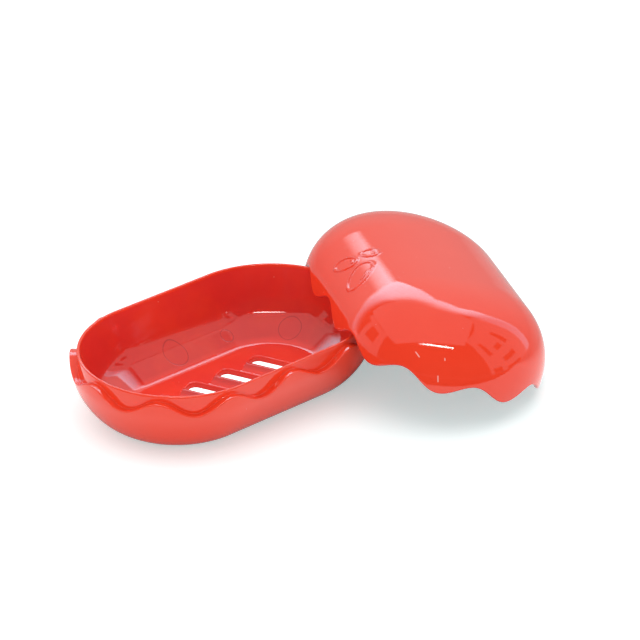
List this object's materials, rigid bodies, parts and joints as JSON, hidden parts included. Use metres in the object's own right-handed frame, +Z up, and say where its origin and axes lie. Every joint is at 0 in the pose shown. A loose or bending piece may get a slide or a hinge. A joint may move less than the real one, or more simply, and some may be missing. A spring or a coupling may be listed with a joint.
{
  "type": "soap dish with lift-off lid",
  "caption": "Oval travel soap dish: a drained tray with a wavy ledge and a thin rim, and a domed lid with a matching wavy edge that lifts off and leans on the tray's end.",
  "frame": {"origin": "the middle of the tray's flat underside", "axes": "+Z up, +X along the tray's long axis towards the end that the taken-off lid leans on, +Y to the tray's left seen along +X"},
  "size_m": [0.1719, 0.1176, 0.0424],
  "materials": {
    "tray_plastic": "glossy coral-red moulded plastic",
    "lid_plastic": "glossy coral-red moulded plastic"
  },
  "bodies": {
    "tray_body": {"tray": "tray_plastic"},
    "lid_body": {"lid": "lid_plastic"}
  },
  "joints": [
    {"name": "lid_lift", "type": "slide", "parent": "tray_body", "child": "lid_body", "axis": [0, 0, 1], "range_m": [0, 0.08]}
  ]
}
